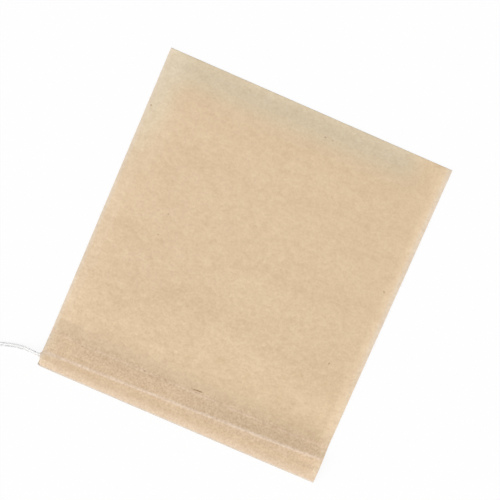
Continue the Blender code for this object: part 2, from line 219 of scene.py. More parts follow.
class StudioSettings(bpy.types.PropertyGroup):
    """Camera, lamps and floor"""
    lens: FloatProperty(name="Lens", description="Focal length for a 36 mm picture", default=85.0,
                        unit="CAMERA")
    camera_place: spot("Camera", "Where the camera hangs", -8.481, 28.84, 273.183)
    camera_aim: spot("Aim", "Floor point that it looks at", -0.056, 4.487, 0.0)
    camera_turn: tilt("Turn", "Picture's right, from the mouth's line", 23.498)
    key: FloatProperty(name="Key lamp", description="Strength of the soft lamp", default=2.44)
    key_spread: tilt("Key spread", "Width of the lamp's light", 85)
    key_height: tilt("Key height", "Of the lamp over the floor", 45)
    key_side: tilt("Key side", "Of the lamp, from the mouth's side", -22)
    ambient: share("Ambient", "Light that comes from all round", 0.45)


def mix(a, b, share_of_b):
    return a + (b - a) * share_of_b


def clamp(value, low=0.0, high=1.0):
    return min(max(value, low), high)


def spoke(angle, radius=1.0):
    """Level vector at an angle from X."""
    return Vector((cos(angle), sin(angle), 0.0)) * radius


def heading(points, i):
    """Direction of a line of points at one of them."""
    return (points[min(i + 1, len(points) - 1)] - points[max(i - 1, 0)]).normalized()


def beside(ahead):
    """Level vector to the right of a direction."""
    return Vector((ahead.y, -ahead.x, 0.0))


def pillow(run):
    """Rise of a sheet that swells from a seam, from 0 at the seam to 1 at the end of its run."""
    run = clamp(run)
    return run * (2 - run)


def curl(depth, radius):
    """How far the surface of a round fold turns in, at a depth from its outermost line."""
    depth = clamp(depth, 0.03 * radius, radius)
    return radius - sqrt(radius ** 2 - (radius - depth) ** 2)


def taut_over(y, left, middle, radius, right):
    """Height at y of a sheet pulled tight from left to right over a round thread."""
    (y0, z0), (yc, zc), (y1, z1) = left, middle, right
    rise = atan2(zc - z0, yc - y0) + asin(radius / hypot(yc - y0, zc - z0))
    fall = atan2(zc - z1, y1 - yc) + asin(radius / hypot(y1 - yc, zc - z1))
    if y <= yc - radius * sin(rise):
        return z0 + (y - y0) * tan(rise)
    if y >= yc + radius * sin(fall):
        return z1 + (y1 - y) * tan(fall)
    return zc + sqrt(radius ** 2 - (y - yc) ** 2)


class BagForm:
    """Heights of the paper's layers over the bag, each stacked on the one below it."""

    def __init__(self, scene):
        for group in (scene.tea_bag_sheet, scene.tea_bag_thread):
            for name in group.__annotations__:
                setattr(self, name, getattr(group, name))
        self.pair = self.thread + self.leg_gap
        self.left, self.right = -self.width / 2, self.width / 2
        self.tip, self.tip_end = 0.5, 0.8    # thread thicknesses past the front run
        self.tube = 2 * self.paper + self.thread + 2 * self.thread_room
        self.glue_line = self.hem - self.bond
        self.place = Vector((self.tongue / 2, -self.length / 2, 0.0))

    def front_line(self, x):
        """Distance of the front run of thread from the mouth folds."""
        line = mix(self.front_start, self.front_turn, (x - self.left) / self.width)
        bent = clamp(1 - (x - self.left - self.leg_start) / self.exit_bend)
        return line - (self.front_start - self.exit - self.pair / 2) * bent ** 2

    def back_line(self, x):
        return mix(self.exit - self.pair / 2, self.back_turn, (x - self.left) / self.width)

    def hem_height(self, y, line):
        """Thickness of a hem: two layers of paper round a thread that lies at line."""
        if y < self.nose:
            return 2 * self.nose
        if y >= self.glue_line:
            pressed = clamp((y - self.glue_line) / self.bond)
            return self.paper + mix(self.paper, self.pressed, pressed)
        over = (line, self.paper + self.thread_room + self.thread / 2)
        return taut_over(y, (self.nose, 2 * self.nose), over, self.tube / 2,
                         (self.glue_line, 2 * self.paper))

    def back_stack(self, x, y):
        """Top of everything behind the pocket: the back hem, then the back panel on the floor."""
        if y <= self.hem:
            return self.hem_height(y, self.back_line(x))
        return self.paper + self.pressed * max(0.0, 1 - (y - self.hem) / self.edge_run)

    def unevenness(self, x, y):
        """Slow cockles of the front panel and small gathers along the thread."""
        slow = noise.noise(Vector((x / (17 * MM), y / (21 * MM), 4.0)))
        slow += 0.35 * noise.noise(Vector((x / (6.5 * MM), y / (9 * MM), 9.0)))
        gather = noise.noise(Vector((x / (2.2 * MM), y / (7 * MM), 17.0)))
        near = max(0.0, 1 - abs(y - self.front_line(x)) / (4.5 * MM))
        return self.cockle * slow + self.pucker * gather * near

    def front_base(self, x, y):
        """Underside of everything in front of the pocket."""
        body = self.paper + self.pocket * pillow((self.length - self.end_fold - y) / self.end_run)
        top = 2 * self.nose + self.mouth + self.hem_rise
        if y < self.glue_line:
            open_height = mix(2 * self.nose + self.mouth, top, y / self.glue_line)
        else:
            fall = max(0.0, 1 - (y - self.glue_line) / self.hem_fall)
            open_height = body + (top - body) * fall ** 2
        free = clamp(y / self.hem) * clamp((self.length - self.end_fold - y) / self.end_run)
        aside = clamp((y - self.front_line(x)) / self.dip_run, -1.0, 1.0)
        open_height += self.unevenness(x, y) * free - self.dip * (1 - aside ** 2) ** 2
        swell = pillow((self.width / 2 - self.seam - abs(x)) / self.side_run)
        return mix(self.back_stack(x, y), open_height, swell)

    def underside(self, x, y):
        if y <= self.hem:
            return curl(y, self.nose)
        return self.back_stack(x, y) - self.paper + curl(self.length - y, self.paper)

    def topside(self, x, y):
        if y <= self.hem:
            hem = self.hem_height(y, self.front_line(x))
            return self.front_base(x, y) + hem - curl(y, self.nose)
        return self.front_base(x, y) + self.paper - curl(self.length - y, self.paper)

    def pocket_floor(self, x, y):
        return self.back_stack(x, y) - curl(y, self.nose)

    def pocket_ceiling(self, x, y):
        return self.front_base(x, y) + curl(y, self.nose)

    def turned_in(self, y):
        """How far the inside of a hem's fold turns in."""
        return curl(y - self.paper, self.nose - self.paper)

    def back_channel_floor(self, x, y):
        return self.paper + self.turned_in(y)

    def back_channel_ceiling(self, x, y):
        return self.hem_height(y, self.back_line(x)) - self.paper - self.turned_in(y)

    def front_channel_floor(self, x, y):
        return self.front_base(x, y) + self.paper + self.turned_in(y)

    def front_channel_ceiling(self, x, y):
        hem = self.hem_height(y, self.front_line(x))
        return self.front_base(x, y) + hem - self.paper - self.turned_in(y)

    def columns(self, spacing=0.9 * MM):
        """Positions across the bag, closer together beside the seams."""
        edge = self.seam + self.side_run
        near = [edge * s for s in (0.0, 0.03, 0.07, 0.11, 0.15, 0.19)]
        near += [mix(self.seam, edge, (s / 12) ** 1.2) for s in range(13)]
        left = [self.left + s for s in near]
        right = [self.right - s for s in reversed(near)]
        count = round((right[0] - left[-1]) / spacing)
        inner = [mix(left[-1], right[0], s / count) for s in range(1, count)]
        return left + inner + right

    def hem_rows(self, x):
        """Positions from the mouth fold to the glued strip, closest over the threads."""
        nose = [self.nose * (1 - cos(radians(a))) for a in (0, 15, 30, 45, 60, 75, 90)]
        reach = self.thread / 2
        back, front = self.back_line(x), self.front_line(x)
        rows = nose + [mix(self.nose, back - reach, s / 4) for s in (1, 2, 3)]
        rows += [back + reach * s for s in (-1.0, -0.6, -0.3, 0.0, 0.3, 0.6, 1.0)]
        rows += [mix(back + reach, front - reach, s / 4) for s in (1, 2, 3)]
        rows += [front + reach * s for s in (-1.0, -0.75, -0.5, -0.25, 0, 0.25, 0.5, 0.75)]
        rows += [front + self.thread * s for s in (self.tip, mix(self.tip, self.tip_end, 0.5),
                                                   self.tip_end)]
        return rows + [mix(rows[-1], self.glue_line, s / 6) for s in (1, 2, 3, 4, 5, 6)]

    def body_rows(self, spacing=0.9 * MM):
        """Positions from the raw edge of the hem to the closed end."""
        foot = self.glue_line + self.hem_fall
        fall = [mix(self.hem + self.raw_edge, foot, (s / 14) ** 1.3) for s in range(1, 15)]
        last = self.length - self.end_fold
        count = round((last - foot) / spacing)
        body = [mix(foot, last, s / count) for s in range(1, count + 1)]
        end = [self.length - self.paper * s for s in (4.0, 2.0, 1.0, 0.6, 0.3, 0.1, 0.0)]
        return [self.hem, self.hem + self.raw_edge] + fall + body + end

    def edge_x(self, x, y, front):
        """The hem's left end stands proud where the thread leaves it, less at the mouth folds."""
        tip, end = [self.front_line(self.left) + self.thread * s for s in (self.tip, self.tip_end)]
        along = max(y, 0.0) / tip
        if y >= tip:
            out = self.tongue * clamp((end - y) / (end - tip))
        elif front:
            out = mix(-self.drawn_in, self.tongue, along)
        else:
            out = self.tongue * along ** 3
        return x - out * clamp(1 - (x - self.left) / self.seam)

    def front_run_height(self, x, y):
        return self.front_channel_floor(x, y) + self.thread_room + self.thread / 2

    def back_run_height(self):
        return self.paper + self.thread_room + self.thread / 2

    def turn_radius(self):
        return (self.front_line(self.right) - self.back_line(self.right)) / 2

    def turn_x(self):
        return self.right - self.turn_cover - self.thread / 2 - self.turn_radius()

    def exit_point(self, height=0.0):
        return self.place + Vector((self.left, self.exit, height))

    def coil_middle(self):
        return self.exit_point() + Vector((*COIL_AT, 0.0))


def add_object(name, data):
    obj = bpy.data.objects.new(name, data)
    bpy.context.scene.collection.objects.link(obj)
    return obj


def mesh_object(name, verts, faces):
    mesh = bpy.data.meshes.new(name)
    mesh.from_pydata(verts, [], faces)
    mesh.validate()
    return add_object(name, mesh)


def applied(obj):
    """The object as a plain mesh, with its modifiers worked in."""
    depsgraph = bpy.context.evaluated_depsgraph_get()
    mesh = bpy.data.meshes.new_from_object(obj.evaluated_get(depsgraph))
    name = obj.name
    bpy.data.objects.remove(obj)
    mesh.name = name
    return add_object(name, mesh)


def smooth(obj, angle):
    """Smooth shading, with edges kept where faces meet at more than an angle."""
    mesh = obj.data
    mesh.polygons.foreach_set("use_smooth", [True] * len(mesh.polygons))
    mesh.set_sharp_from_angle(angle=angle)


# Paper


def grid(form, xs, rows, height, front=True):
    """Points of one height function over the bag; past a side edge it stays as at the edge."""
    points = []
    for x in xs:
        near = clamp(x, form.left, form.right)
        points.append([form.place + Vector((form.edge_x(x, y, front) if x == near else x, y,
                                            height(near, y))) for y in rows(near)])
    return points


def slab(name, form, xs, rows, low, high):
    """Closed body between two heights over the bag."""
    bm = bmesh.new()
    bottom, top = [[[bm.verts.new(point) for point in column] for column in
                    grid(form, xs, rows, height, front)] for front, height in enumerate((low, high))]
    last_x, last_y = len(xs) - 1, len(bottom[0]) - 1
    for i in range(last_x):
        for j in range(last_y):
            bm.faces.new((top[i][j], top[i + 1][j], top[i + 1][j + 1], top[i][j + 1]))
            bm.faces.new((bottom[i][j], bottom[i][j + 1], bottom[i + 1][j + 1], bottom[i + 1][j]))
        bm.faces.new((bottom[i][0], bottom[i + 1][0], top[i + 1][0], top[i][0]))
        bm.faces.new((top[i][last_y], top[i + 1][last_y], bottom[i + 1][last_y], bottom[i][last_y]))
    for j in range(last_y):
        bm.faces.new((bottom[0][j], top[0][j], top[0][j + 1], bottom[0][j + 1]))
        bm.faces.new((top[last_x][j], bottom[last_x][j], bottom[last_x][j + 1], top[last_x][j + 1]))
    bmesh.ops.triangulate(bm, faces=bm.faces[:])
    mesh = bpy.data.meshes.new(name)
    bm.to_mesh(mesh)
    bm.free()
    return add_object(name, mesh)


def skin(name, form, xs, rows, height):
    """Open sheet on one height function, on which fibres are scattered."""
    points = grid(form, xs, rows, height)
    deep = len(points[0])
    faces = [(i * deep + j, (i + 1) * deep + j, (i + 1) * deep + j + 1, i * deep + j + 1)
             for i in range(len(points) - 1) for j in range(deep - 1)]
    return mesh_object(name, [point for column in points for point in column], faces)


def channel_rows(form, x):
    """From the inside of the mouth fold to just before the glued strip."""
    inner = form.nose - form.paper
    start = [form.paper + inner * (1 - cos(radians(a))) for a in (0, 25, 50, 70)]
    return start + form.hem_rows(x)[6:-1] + [form.glue_line - form.paper]


def turning_notch(form):
    """Space in the right seam where the thread passes from hem to hem."""
    room = form.thread / 2 + form.thread_room

    def rows(x):
        return [mix(form.back_line(x) - room, form.front_line(x) + room, s / 9) for s in range(10)]

    def low(x, y):
        return (form.back_channel_floor(x, y) + form.back_channel_ceiling(x, y)) / 2

    def high(x, y):
        return (form.front_channel_floor(x, y) + form.front_channel_ceiling(x, y)) / 2

    start = form.turn_x()
    return slab("cut_turning_notch", form,
                [start, mix(start, form.right, 0.5), form.right, form.right + form.seam],
                rows, low, high)


def cut_out(obj, cutters):
    """The object without the space of the cutters, as a plain mesh."""
    for cutter in cutters:
        boolean = obj.modifiers.new(cutter.name, "BOOLEAN")
        boolean.operation = "DIFFERENCE"
        boolean.solver = "EXACT"
        boolean.object = cutter
    result = applied(obj)
    for cutter in cutters:
        bpy.data.objects.remove(cutter)
    return result


def folded_sheet(form):
    """The folded sheet, opened by its pocket, its two thread channels and the turning notch."""
    xs = form.columns()
    inner = [x for x in xs if abs(x) <= form.width / 2 - form.seam + form.raw_edge][::2]
    if inner[-1] < form.width / 2 - form.seam - form.raw_edge:
        inner.append(form.width / 2 - form.seam)
    past = [form.left - 2 * form.seam] + xs + [form.right + 2 * form.seam]
    bag = slab("paper_sheet", form, xs, lambda x: form.hem_rows(x) + form.body_rows(),
               form.underside, form.topside)
    cutters = [slab("cut_pocket", form, inner,
                    lambda x: [-2 * form.nose] + form.hem_rows(x) + form.body_rows()[:-10],
                    form.pocket_floor, form.pocket_ceiling)]
    for side, floor, ceiling in (
            ("back", form.back_channel_floor, form.back_channel_ceiling),
            ("front", form.front_channel_floor, form.front_channel_ceiling)):
        cutters.append(slab("cut_%s_channel" % side, form, past, lambda x: channel_rows(form, x),
                            floor, ceiling))
    cutters.append(turning_notch(form))
    bag = cut_out(bag, cutters)
    smooth(bag, radians(30))
    return bag


# Shader maths and node trees


class Wire:
    """Socket of a node tree that takes part in Python expressions."""

    def __init__(self, graph, socket):
        self.graph, self.socket = graph, socket

    def maths(self, operation, *values):
        return self.graph.node("ShaderNodeMath", {"operation": operation}, dict(enumerate(values)))

    def __add__(self, other):
        return self.maths("ADD", self, other)

    def __sub__(self, other):
        return self.maths("SUBTRACT", self, other)

    def __rsub__(self, other):
        return self.maths("SUBTRACT", other, self)

    def __mul__(self, other):
        return self.maths("MULTIPLY", self, other)

    def __truediv__(self, other):
        return self.maths("DIVIDE", self, other)

    def __abs__(self):
        return self.maths("ABSOLUTE", self)

    __radd__ = __add__
    __rmul__ = __mul__


class Graph:
    """Node tree that is filled by expressions."""

    def __init__(self, tree):
        self.tree = tree
        tree.nodes.clear()

    def node(self, kind, settings=None, values=None, output=0):
        """Adds a node: its settings first, then the values or links of its sockets."""
        node = self.tree.nodes.new(kind)
        for name, value in (settings or {}).items():
            setattr(node, name, value)
        for name, value in (values or {}).items():
            socket = node.inputs[name]
            if isinstance(value, Wire):
                self.tree.links.new(value.socket, socket)
            else:
                socket.default_value = value
        return Wire(self, node.outputs[output]) if node.outputs else node

    def output(self, wire, number):
        """Another output of the node that a wire comes from."""
        return Wire(self, wire.socket.node.outputs[number])

    def split(self, vector):
        first = self.node("ShaderNodeSeparateXYZ", None, {0: vector})
        return first, self.output(first, 1), self.output(first, 2)

    def fade(self, value, full, gone):
        """1 up to the value full, and smoothly down to 0 at the value gone."""
        return self.node("ShaderNodeMapRange", {"interpolation_type": "SMOOTHSTEP"},
                         {"Value": value, "From Min": full, "From Max": gone, "To Min": 1.0,
                          "To Max": 0.0})

    def band(self, value, middle, full, gone):
        """1 up to the distance full from a middle value, and down to 0 at the distance gone."""
        return self.fade(abs(value - middle), full, gone)

    def blend(self, a, b, factor, kind="MIX"):
        """Colour between a and b, or from a to their product."""
        return self.node("ShaderNodeMix", {"data_type": "RGBA", "blend_type": kind},
                         {0: factor, 6: self.rgba(a), 7: self.rgba(b)}, output=2)

    @staticmethod
    def rgba(value):
        return value if isinstance(value, Wire) else (*value[:3], 1.0)

    def scaled(self, vector, by):
        return self.node("ShaderNodeVectorMath", {"operation": "MULTIPLY"}, {0: vector, 1: by})

    def merged(self, *axes):
        return self.node("ShaderNodeCombineXYZ", None, dict(enumerate(axes)))

    def bump(self, strength, distance, height):
        return self.node("ShaderNodeBump", None,
                         {"Strength": strength, "Distance": distance, "Height": height})

    def noise(self, vector, scale, detail=2.0, roughness=0.5, distortion=0.0):
        return self.node("ShaderNodeTexNoise", None,
                         {"Vector": vector, "Scale": scale, "Detail": detail,
                          "Roughness": roughness, "Distortion": distortion})


def new_material(name):
    material = bpy.data.materials.new(name)
    material.use_nodes = True
    return material, Graph(material.node_tree)


def principled(graph, base, roughness, normal, plain=None):
    """Ends a material with a Principled shader."""
    shader = graph.node("ShaderNodeBsdfPrincipled", None,
                        {"Base Color": base, "Roughness": roughness, "Normal": normal,
                         "Metallic": 0.0, "IOR": 1.45, "Specular IOR Level": 0.25,
                         **(plain or {})})
    graph.node("ShaderNodeOutputMaterial", None, {"Surface": shader})


def speck_mask(graph, x, y, warp, spec):
    """Soft oval at a chosen place; x and y are in mm from the left edge and the mouth."""
    at_x, at_y, half_length, half_width, turn, strength = spec
    across, along = x - at_x, y - at_y
    c, s = cos(radians(turn)), sin(radians(turn))
    u = (across * c + along * s) / half_length
    v = (along * c - across * s) / half_width
    return graph.fade(u * u + v * v + warp, 0.25, 1.5) * strength


def thread_line(form, x):
    """Distance of the front thread's ridge from the mouth, in mm."""
    slope = (form.front_turn - form.front_start) / form.width
    return x * slope + form.front_start / MM


def paper_colour(graph, form, look, x, y, cloud):
    """Paints of the sheet's parts, each over the ones before; x and y as for the specks. The right
    side and the rim carry painted shade, the ridge line is partly a painted highlight, and the seals,
    cut edges and raw edge are paler partly of their own and partly by painted light.
    """
    fade, band = graph.fade, graph.band
    x_right, y_end = form.width / MM - x, form.length / MM - y
    hem = form.hem / MM
    paints = [
        # painted shade, darker towards the right
        (look.shade, fade(x_right, 0.0, form.width / MM)),
        (look.hem, fade(y, hem - 0.1, hem + 0.1)),
        (look.end, fade(y_end, 2.0, 10.0) * fade(x, 58.0, 67.0)),
        # pressed seams, paler partly of their own and partly by painted light
        (look.seal, fade(x, 0.0, 5.0) * 0.8 + fade(x_right, 0.0, 3.5) * 0.8),
        (look.pale, fade(x, 1.0, 9.0) * fade(y_end, 4.0, 36.0) * 0.8),
        # cut edges, paler partly from open fibres and partly by painted light
        (look.cut, (fade(x, 0.1, 1.2)
                    + fade(x_right, 0.2, 1.6) * (1.0 - fade(y, 14.0, 40.0) * 0.8)) * 0.7),
        (look.fold, fade(y, 0.3, 2.8) * 0.8),
        # painted shade along the curled-under rim of the mouth folds
        (look.rim, fade(y, 0.2, 0.6)),
        # thread showing through, with a painted highlight on the crest
        (look.ridge, band(y, thread_line(form, x), 0.1, 0.6) * 0.9),
        # pressed strip's paler tone, with a painted highlight over the step's shade
        (look.raw, band(y, hem - 0.2, 0.15, 0.55) * (0.25 + cloud * 0.7))]
    base = look.body
    for paint, where in paints:
        base = graph.blend(base, paint, where)
    return base


def painted_light_and_shade(graph, form, x, y):
    """Painted light and shade: soft patches, lighter or darker, that stand for the light and shade
    beside the folds, the thread, the glue and the seams.
    """
    fade, band = graph.fade, graph.band
    x_right, y_end = form.width / MM - x, form.length / MM - y
    left_end, right_end = band(x, 3.5, 1.5, 4.5), band(x_right, 2.5, 1.5, 5.5)
    past_thread = y - thread_line(form, x)
    return (fade(x_right, 0.0, 11.0) * 0.045
            + fade(y, 12.0, 28.0) * 0.035
            + (left_end + right_end * 1.6) * band(y, 6.3, 1.8, 3.2) * 0.07
            - (left_end + right_end * 0.6) * band(y, 10.4, 1.0, 2.6) * 0.10
            + band(past_thread, 1.4, 0.5, 1.3) * (0.02 - fade(x_right, 24.0, 36.0) * 0.05)
            + band(y, 8.2, 0.3, 1.0) * 0.03
            + band(y, form.hem / MM, 0.05, 0.15) * 0.08
            - band(x, 48.0, 9.0, 16.0) * band(y, 6.0, 1.5, 3.0) * 0.045
            - fade(y, 9.0, 12.0) * 0.012
            + band(y, 18.0, 4.0, 8.0) * 0.012
            - band(y, 1.5, 0.5, 1.2) * fade(x_right, 12.0, 26.0) * 0.03
            + fade(y_end, 0.5, 3.0) * (0.045 - fade(x_right, 3.0, 9.0) * 0.11)
            - fade(x_right, 0.2, 1.2) * 0.04)


def paper_material(scene):
    """Mottled, unbleached filter paper; every place on it is read in the bag's own frame."""
    form, look = BagForm(scene), scene.tea_bag_paper
    material, graph = new_material("unbleached_filter_paper")
    place = graph.node("ShaderNodeTexCoord", output="Object")
    from_middle, from_centre, _ = [axis / MM for axis in graph.split(place)]
    x = from_middle - (form.place.x + form.left) / MM
    y = from_centre - form.place.y / MM

    streak = graph.noise(graph.scaled(place, (0.6, 1.0, 1.0)), 1 / (1.1 * MM), 3.0, 0.6, 0.4)
    cloud = graph.noise(place, 1 / (3.4 * MM), 2.0, 0.5, 0.3)
    blotch = graph.noise(graph.scaled(place, (0.25, 1.0, 1.0)), 1 / (9 * MM), 1.0, 0.5)
    fine = graph.noise(place, 1 / (0.5 * MM), 2.0, 0.6)

    base = paper_colour(graph, form, look, x, y, cloud)
    warp = (fine - 0.5) * 1.2
    specks = sum([speck_mask(graph, x, y, warp, spec) for spec in SPECKS[1:]],
                 speck_mask(graph, x, y, warp, SPECKS[0]))
    base = graph.blend(base, look.speck, specks)

    on_hem = graph.fade(y, form.hem / MM, form.hem / MM + 1.5)
    grain = 0.82 + graph.fade(y, 14.0, 55.0) * 0.22 - graph.fade(y, 2.0, 5.0) * 0.26
    mottle = ((streak - 0.5) * (1.3 + on_hem * 0.2) + (cloud - 0.5) * 0.5 + (blotch - 0.5) * 0.6
              + (fine - 0.5) * (1.5 + on_hem * 1.5)) * grain * (look.mottle * 2)
    # Painted light and shade, multiplied into the paper's colour
    lit = 1.0 + painted_light_and_shade(graph, form, x, y)
    grey = graph.merged(*[lit + mottle * more for more in CHANNEL_MOTTLE])
    base = graph.blend(base, grey, 1.0, "MULTIPLY")
    bump = graph.bump(0.6, 0.02 * MM, streak * 0.5 + cloud * 0.3 + fine * 0.5)
    principled(graph, base, 0.78 + cloud * 0.2, bump)
    return material


def fibre_material(scene):
    """Single fibres on the surface, each a shade lighter or browner than the paper."""
    look = scene.tea_bag_paper
    material, graph = new_material("paper_fibre")
    tone = graph.node("ShaderNodeAttribute", {"attribute_name": "tone"}, output="Fac")
    base = graph.blend(Vector(look.body) * 0.97, Vector(look.fold), tone)
    place = graph.node("ShaderNodeTexCoord", output="Object")
    principled(graph, base, 0.7, graph.bump(0.4, 0.01 * MM, graph.noise(place, 1 / (0.2 * MM))))
    return material


def cotton_material(scene, name, soft):
    """White cotton: fibres run slantwise round each ply, and light spreads inside a thick piece. The
    side that faces away from the key lamp, and a little the grooves, are painted lighter, as painted
    light that lifts their shade.
    """
    look = scene.tea_bag_cotton
    material, graph = new_material(name)
    around = graph.node("ShaderNodeUVMap", {"uv_map": "UVMap"})
    fibres = graph.noise(graph.scaled(around, (5.0, 16.0, 1.0)), 1.0, 3.0, 0.6, 0.5)
    depth = graph.node("ShaderNodeAttribute", {"attribute_name": "depth"}, output="Fac")
    # grooves painted a little lighter, as painted light that lifts their shade
    base = graph.blend(look.cotton, look.groove, depth * 0.7 + (fibres - 0.5) * 0.3)
    # Painted light: near white on the side that faces away from the key lamp
    facing = graph.split(graph.node("ShaderNodeTexCoord", output="Normal"))[1]
    base = graph.blend(base, look.bleached, (1.0 - graph.fade(facing, -0.1, 0.6)) * 0.95)
    bump = graph.bump(0.4, 0.02 * MM, fibres)
    plain = {"Sheen Weight": 1.0, "Sheen Roughness": 0.8}
    if soft:
        plain.update({"Subsurface Weight": 1.0, "Subsurface Scale": soft,
                      "Subsurface Radius": (1.0, 1.0, 1.0)})
    principled(graph, base, 0.85, bump, plain)
    return material


# Scattered fibres


def geometry_tree(name, sizes):
    """Empty geometry tree with a geometry input, named number inputs and a geometry output."""
    tree = bpy.data.node_groups.new(name, "GeometryNodeTree")
    graph = Graph(tree)
    tree.interface.new_socket("Geometry", in_out="INPUT", socket_type="NodeSocketGeometry")
    for size_name, value in sizes.items():
        kind = "NodeSocketInt" if isinstance(value, int) else "NodeSocketFloat"
        tree.interface.new_socket(size_name, in_out="INPUT", socket_type=kind)
    tree.interface.new_socket("Geometry", in_out="OUTPUT", socket_type="NodeSocketGeometry")
    given = graph.node("NodeGroupInput", output=0)
    sockets = {name: graph.output(given, number)
               for number, name in enumerate(["Geometry"] + list(sizes))}
    return tree, graph, sockets


def grow(name, base, tree, sizes):
    """Runs a geometry tree on a copy of an object and gives the result as a plain mesh."""
    obj = add_object(name, base.data.copy())
    modifier = obj.modifiers.new("Fibres", "NODES")
    modifier.node_group = tree
    for item in tree.interface.items_tree:
        if item.in_out == "INPUT" and item.name in sizes:
            modifier[item.identifier] = sizes[item.name]
    return applied(obj)


def scattered(graph, given, parts, resolution, chosen=None):
    """Points scattered over the surface, and a bowed fibre through parts of the given length."""
    values = {"Mesh": given["Geometry"], "Density": given["Density"], "Seed": given["Seed"]}
    if chosen:
        values["Selection"] = chosen
    points = graph.node("GeometryNodeDistributePointsOnFaces", {"distribute_method": "RANDOM"},
                        values)
    ends = [graph.merged(*[given["Length"] * axis for axis in part]) for part in parts]
    fibre = graph.node("GeometryNodeCurveQuadraticBezier", None,
                       {"Resolution": resolution, "Start": ends[0], "Middle": ends[1],
                        "End": ends[2]})
    return points, fibre


def chance(graph, given, low, high, seed):
    """Random number for each fibre, from the tree's seed and the purpose's own."""
    return graph.node("FunctionNodeRandomValue", {"data_type": "FLOAT"},
                      {"Min": low, "Max": high, "Seed": given["Seed"] + seed}, output=1)


def turn_by(graph, angle):
    return graph.node("FunctionNodeAxisAngleToRotation", None,
                      {"Axis": (0.0, 0.0, 1.0), "Angle": angle})


def end_in_tubes(graph, curves, radius, material):
    """Ends a tree with thin tubes along its curves, as plain faces with a material."""
    profile = graph.node("GeometryNodeCurvePrimitiveCircle", None,
                         {"Resolution": 3, "Radius": radius})
    tubes = graph.node("GeometryNodeCurveToMesh", None, {0: curves, 1: profile, "Fill Caps": True})
    plain = graph.node("GeometryNodeRealizeInstances", None, {"Geometry": tubes})
    done = graph.node("GeometryNodeSetMaterial", None, {"Geometry": plain, "Material": material})
    graph.node("NodeGroupOutput", None, {"Geometry": done})


def fibre_tree(material, conform):
    """Bowed fibres scattered over a sheet; they follow it where conform is true."""
    sizes = {"Density": 1.0, "Length": 1.0, "Radius": 1.0, "Lift": 1.0, "Lean": 1.0, "Seed": 1}
    tree, graph, given = geometry_tree("scattered_fibres", sizes)
    points, fibre = scattered(graph, given, [(-0.5, 0.0), (0.05, 0.275), (0.5, 0.05)], 6)
    lean = (chance(graph, given, -1.0, 1.0, 11) + chance(graph, given, -1.0, 1.0, 12)) * given["Lean"]
    spread = chance(graph, given, 0.35, 1.5, 13)
    flip = graph.node("ShaderNodeMath", {"operation": "SIGN"},
                      {0: chance(graph, given, -1.0, 1.0, 14)})
    fibres = graph.node("GeometryNodeInstanceOnPoints", None,
                        {"Points": points, "Instance": fibre, "Rotation": turn_by(graph, lean),
                         "Scale": graph.merged(spread, spread * flip, spread)})
    fibres = graph.node("GeometryNodeStoreNamedAttribute",
                        {"data_type": "FLOAT", "domain": "INSTANCE"},
                        {"Geometry": fibres, "Name": "tone",
                         "Value": chance(graph, given, 0.0, 1.0, 15)})
    fibres = graph.node("GeometryNodeRealizeInstances", None, {"Geometry": fibres})
    if conform:
        nearest = graph.node("GeometryNodeProximity", {"target_element": "FACES"},
                             {0: given["Geometry"]})
        fibres = graph.node("GeometryNodeSetPosition", None,
                            {"Geometry": fibres, "Position": nearest,
                             "Offset": graph.merged(0.0, 0.0, given["Lift"])})
    end_in_tubes(graph, fibres, given["Radius"], material)
    return tree


def fuzz_tree(material):
    """Loose hairs that rise from the plies and lie along them, never below the floor."""
    sizes = {"Density": 1.0, "Length": 1.0, "Radius": 1.0, "Seed": 1}
    tree, graph, given = geometry_tree("cotton_fuzz", sizes)
    facing = graph.split(graph.node("GeometryNodeInputNormal"))[2]
    upper = graph.node("FunctionNodeCompare", {"data_type": "FLOAT", "operation": "GREATER_THAN"},
                       {0: facing, 1: -0.1})
    points, hair = scattered(graph, given, [(0.0, 0.0, -0.02), (0.35, 0.1, 0.22),
                                            (1.0, 0.0, 0.10)], 3, upper)
    turned = graph.node("FunctionNodeRotateRotation", {"rotation_space": "LOCAL"},
                        {0: graph.output(points, 2),
                         1: turn_by(graph, chance(graph, given, -pi, pi, 21))})
    hairs = graph.node("GeometryNodeInstanceOnPoints", None,
                       {"Points": points, "Instance": hair, "Rotation": turned,
                        "Scale": chance(graph, given, 0.35, 1.3, 22)})
    hairs = graph.node("GeometryNodeRealizeInstances", None, {"Geometry": hairs})
    x, y, z = graph.split(graph.node("GeometryNodeInputPosition"))
    above = graph.merged(x, y, z.maths("MAXIMUM", z, given["Radius"]))
    hairs = graph.node("GeometryNodeSetPosition", None, {"Geometry": hairs, "Position": above})
    end_in_tubes(graph, hairs, given["Radius"], material)
    return tree


# Drawstring


def smooth_route(points, step):
    """Even points along the smooth curve that passes through a few chosen ones."""
    chosen = [points[0] * 2 - points[1]] + points + [points[-1] * 2 - points[-2]]
    fine = []
    for a, b, c, d in zip(chosen, chosen[1:], chosen[2:], chosen[3:]):
        for s in [s / 24 for s in range(24)]:
            fine.append(0.5 * (2 * b + (c - a) * s + (2 * a - 5 * b + 4 * c - d) * s ** 2
                               + (3 * b - a - 3 * c + d) * s ** 3))
    fine.append(points[-1])
    return evenly(fine, step)


def evenly(fine, step):
    """The same line with points an even step apart."""
    run = [0.0]
    for a, b in zip(fine, fine[1:]):
        run.append(run[-1] + (b - a).length)
    count = max(2, round(run[-1] / step))
    even, at = [], 0
    for i in range(count + 1):
        goal = run[-1] * i / count
        while at < len(run) - 2 and run[at + 1] < goal:
            at += 1
        even.append(fine[at].lerp(fine[at + 1], (goal - run[at]) / (run[at + 1] - run[at])))
    return even


def line_length(points):
    return sum((b - a).length for a, b in zip(points, points[1:]))


